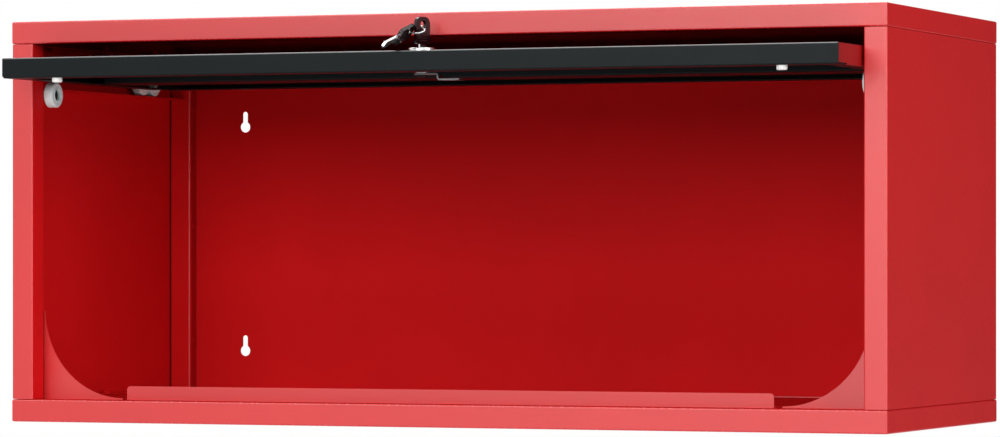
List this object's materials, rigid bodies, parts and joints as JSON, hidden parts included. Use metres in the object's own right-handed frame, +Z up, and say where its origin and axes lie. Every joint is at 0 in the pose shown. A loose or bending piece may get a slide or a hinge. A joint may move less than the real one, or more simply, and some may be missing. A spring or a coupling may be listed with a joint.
{
  "type": "metal wall cabinet",
  "caption": "Red steel wall cabinet with a black flipper door that runs out on rollers in side tracks, a cam lock with its key, corner gussets and keyholes for the wall.",
  "frame": {"origin": "centre of the four keyhole heads, on the back plane that lies on the wall", "axes": "+X to the viewer's right along the width, +Y back into the wall, +Z up; the front faces -Y"},
  "size_m": [0.8, 0.3925, 0.35],
  "materials": {
    "red_paint": "satin powder coat",
    "black_paint": "satin powder coat",
    "zinc_steel": "zinc plated",
    "chrome": "bright nickel plate",
    "nylon": "moulded nylon",
    "bumper_rubber": "white rubber",
    "key_plastic": "moulded, glossy"
  },
  "bodies": {
    "cabinet": {"top_panel": "red_paint", "bottom_panel": "red_paint", "left_side_panel": "red_paint", "right_side_panel": "red_paint", "back_panel": "red_paint", "left_gusset": "red_paint", "right_gusset": "red_paint", "strike_lip": "red_paint", "left_track": "red_paint", "right_track": "red_paint", "left_roller_axle": "zinc_steel", "right_roller_axle": "zinc_steel", "roller_clips": "black_paint", "case_screws": "red_paint", "back_rivets": "red_paint"},
    "left_front_roller": {"left_front_roller": "nylon"},
    "right_front_roller": {"right_front_roller": "nylon"},
    "carriage": {"left_carriage_plate": "zinc_steel", "right_carriage_plate": "zinc_steel", "left_pivot_pin": "zinc_steel", "right_pivot_pin": "zinc_steel", "left_trail_axle": "zinc_steel", "right_trail_axle": "zinc_steel"},
    "left_lead_roller": {"left_lead_roller": "nylon"},
    "left_trail_roller": {"left_trail_roller": "nylon"},
    "right_lead_roller": {"right_lead_roller": "nylon"},
    "right_trail_roller": {"right_trail_roller": "nylon"},
    "door": {"door_skin": "black_paint", "left_door_end": "red_paint", "right_door_end": "red_paint", "door_stiffener": "black_paint", "left_bumper": "bumper_rubber", "right_bumper": "bumper_rubber", "left_pivot_bush": "nylon", "right_pivot_bush": "nylon", "lock_body": "chrome", "lock_nut": "zinc_steel"},
    "lock_plug": {"lock_plug": "zinc_steel", "lock_cam": "chrome", "cam_screw": "black_paint", "key_blade": "chrome", "key_head": "key_plastic"},
    "spare_key": {"key_ring": "chrome", "spare_key_blade": "chrome", "spare_key_head": "key_plastic"}
  },
  "joints": [
    {"name": "door_slide", "type": "slide", "parent": "cabinet", "child": "carriage", "axis": [0, -1, 0], "range_m": [-0.003, 0.2122]},
    {"name": "door_hinge", "type": "hinge", "parent": "carriage", "child": "door", "pos_m": [0, -0.0954, 0.1425], "axis": [1, 0, 0], "range_deg": [-3, 0]},
    {"name": "lock_turn", "type": "hinge", "parent": "door", "child": "lock_plug", "pos_m": [0, -0.342, 0.1485], "axis": [0, 0, 1], "range_deg": [-90, 0]},
    {"name": "spare_key_swing", "type": "hinge", "parent": "lock_plug", "child": "spare_key", "pos_m": [0, -0.342, 0.17525], "axis": [0.8892, -0.2869, -0.3563], "range_deg": [-40, 0]},
    {"name": "left_front_roller_spin", "type": "hinge", "parent": "cabinet", "child": "left_front_roller", "pos_m": [-0.3762, -0.2885, 0.1252], "axis": [1, 0, 0], "continuous": true},
    {"name": "left_lead_roller_spin", "type": "hinge", "parent": "carriage", "child": "left_lead_roller", "pos_m": [-0.388, -0.0954, 0.1425], "axis": [1, 0, 0], "continuous": true},
    {"name": "left_trail_roller_spin", "type": "hinge", "parent": "carriage", "child": "left_trail_roller", "pos_m": [-0.388, -0.0723, 0.1425], "axis": [1, 0, 0], "continuous": true},
    {"name": "right_front_roller_spin", "type": "hinge", "parent": "cabinet", "child": "right_front_roller", "pos_m": [0.3762, -0.2885, 0.1252], "axis": [1, 0, 0], "continuous": true},
    {"name": "right_lead_roller_spin", "type": "hinge", "parent": "carriage", "child": "right_lead_roller", "pos_m": [0.388, -0.0954, 0.1425], "axis": [1, 0, 0], "continuous": true},
    {"name": "right_trail_roller_spin", "type": "hinge", "parent": "carriage", "child": "right_trail_roller", "pos_m": [0.388, -0.0723, 0.1425], "axis": [1, 0, 0], "continuous": true}
  ],
  "couplings": [
    {"joint": "left_front_roller_spin", "follows": "door_slide", "rad_per_m": 90.909},
    {"joint": "left_lead_roller_spin", "follows": "door_slide", "rad_per_m": 90.909},
    {"joint": "left_trail_roller_spin", "follows": "door_slide", "rad_per_m": 90.909},
    {"joint": "right_front_roller_spin", "follows": "door_slide", "rad_per_m": 90.909},
    {"joint": "right_lead_roller_spin", "follows": "door_slide", "rad_per_m": 90.909},
    {"joint": "right_trail_roller_spin", "follows": "door_slide", "rad_per_m": 90.909}
  ]
}
